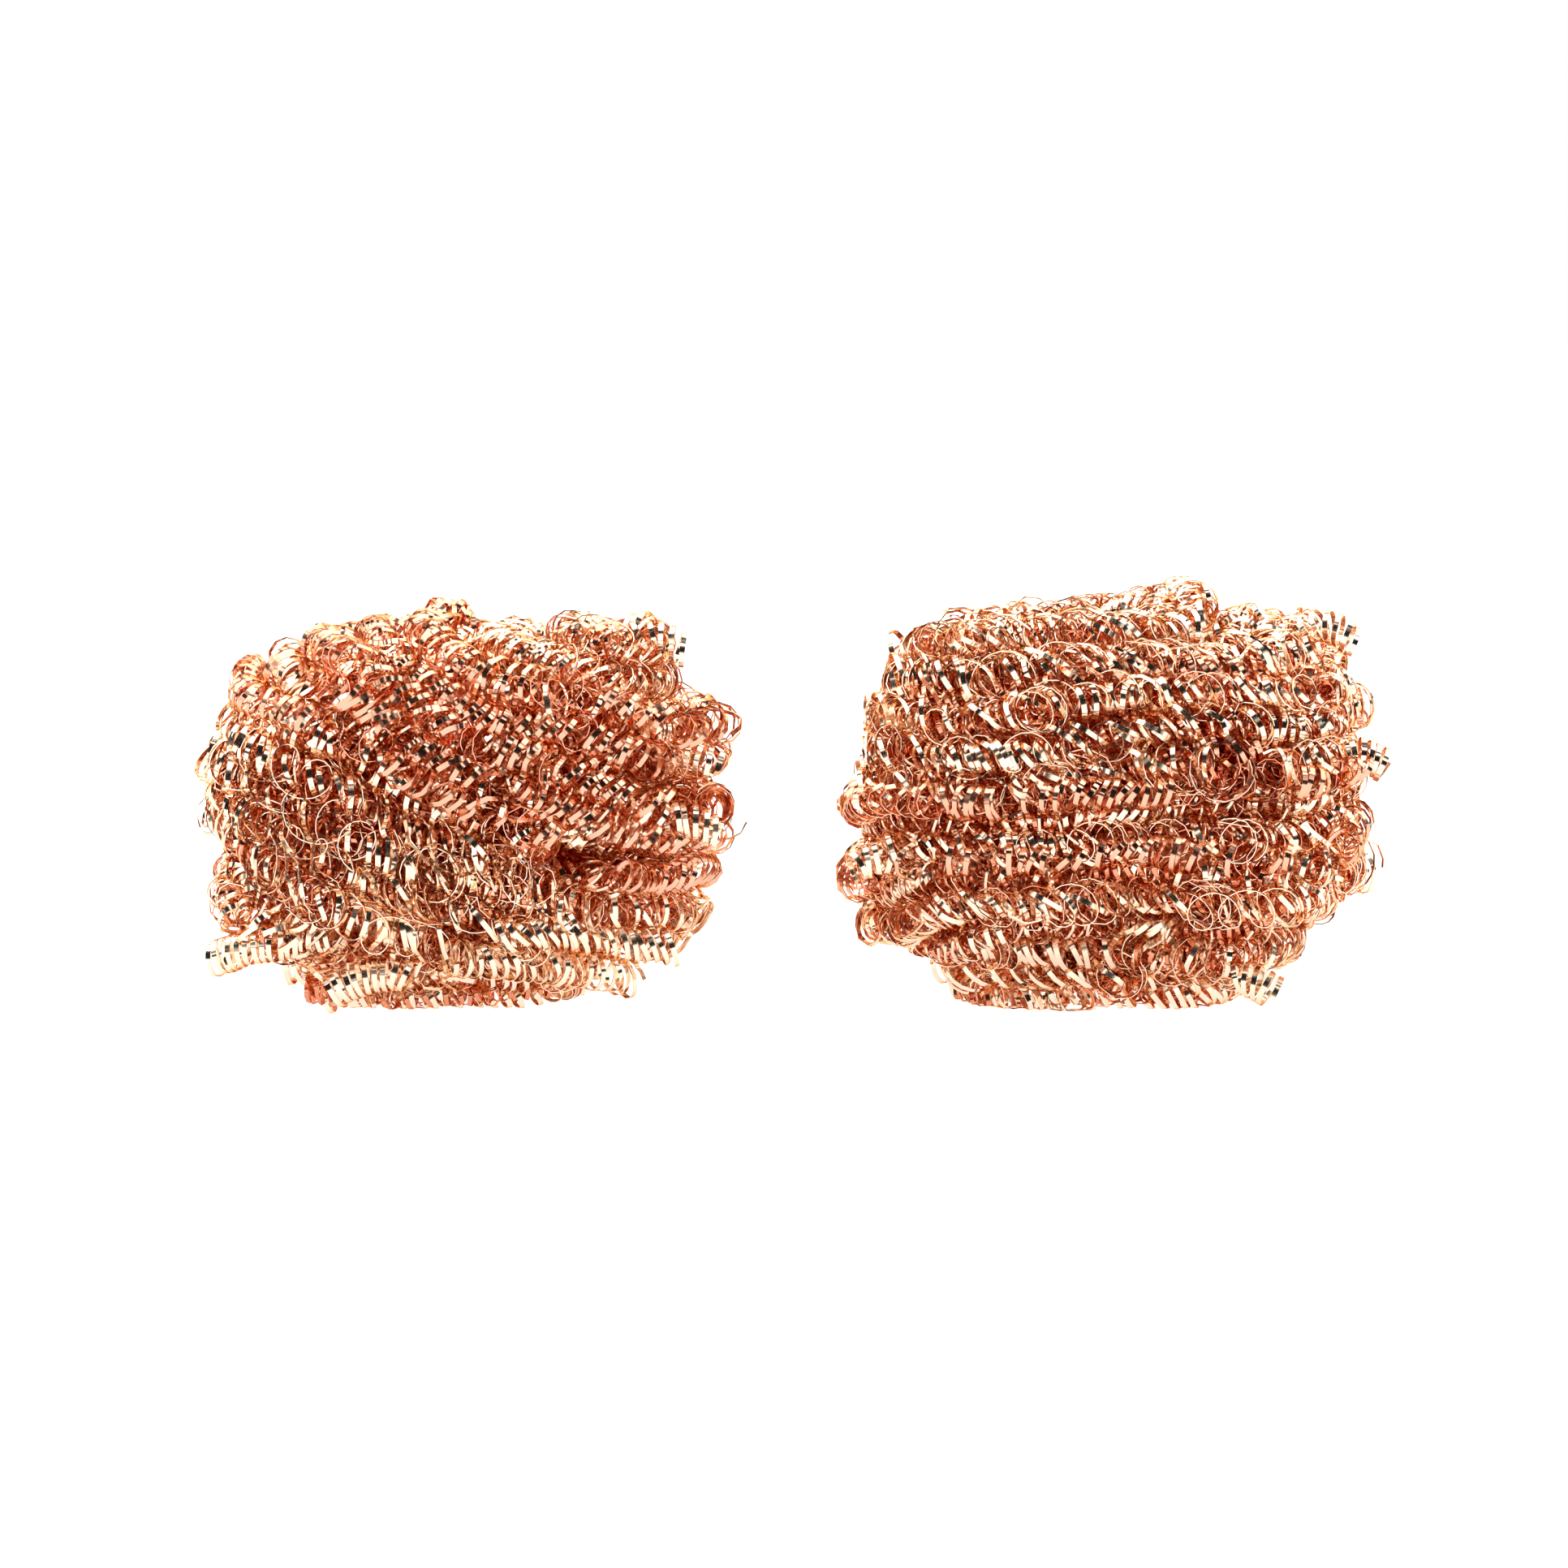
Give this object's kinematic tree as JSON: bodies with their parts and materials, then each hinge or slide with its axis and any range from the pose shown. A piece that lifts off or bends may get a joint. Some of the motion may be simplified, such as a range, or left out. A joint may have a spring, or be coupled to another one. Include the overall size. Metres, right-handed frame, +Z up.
{
  "type": "tip cleaning brass",
  "caption": "Loose ball-shaped pads of springy curled copper-coloured metal ribbon, into which a hot soldering tip is pushed to wipe it clean.",
  "frame": {"origin": "on the bench, midway between the two pads", "axes": "+X from the left pad to the right pad, +Y towards the back, +Z up"},
  "size_m": [0.1356, 0.0476, 0.0479],
  "materials": {
    "ribbon": "bright rolled ribbon, copper coloured"
  },
  "bodies": {
    "left_pad": {"left_pad_base_strand": "ribbon", "left_pad_core_strand_1": "ribbon", "left_pad_end_strand_01": "ribbon", "left_pad_end_strand_02": "ribbon", "left_pad_end_strand_12": "ribbon", "left_pad_end_strand_13": "ribbon", "left_pad_inner_strand_1": "ribbon", "left_pad_inner_strand_2": "ribbon", "left_pad_inner_strand_3": "ribbon", "left_pad_inner_strand_4": "ribbon", "left_pad_inner_strand_5": "ribbon", "left_pad_strand_03": "ribbon", "left_pad_strand_04": "ribbon", "left_pad_strand_05": "ribbon", "left_pad_strand_06": "ribbon", "left_pad_strand_07": "ribbon", "left_pad_strand_08": "ribbon", "left_pad_strand_09": "ribbon", "left_pad_strand_10": "ribbon", "left_pad_strand_11": "ribbon"},
    "right_pad": {"right_pad_base_strand": "ribbon", "right_pad_core_strand_1": "ribbon", "right_pad_core_strand_2": "ribbon", "right_pad_end_strand_01": "ribbon", "right_pad_end_strand_02": "ribbon", "right_pad_end_strand_10": "ribbon", "right_pad_end_strand_11": "ribbon", "right_pad_inner_strand_1": "ribbon", "right_pad_inner_strand_2": "ribbon", "right_pad_inner_strand_3": "ribbon", "right_pad_strand_03": "ribbon", "right_pad_strand_04": "ribbon", "right_pad_strand_05": "ribbon", "right_pad_strand_06": "ribbon", "right_pad_strand_07": "ribbon", "right_pad_strand_08": "ribbon", "right_pad_strand_09": "ribbon"}
  },
  "joints": [
    {"name": "right_pad_slide", "type": "slide", "parent": "left_pad", "child": "right_pad", "axis": [1, 0, 0], "range_m": [-0.01, 0.1]}
  ]
}
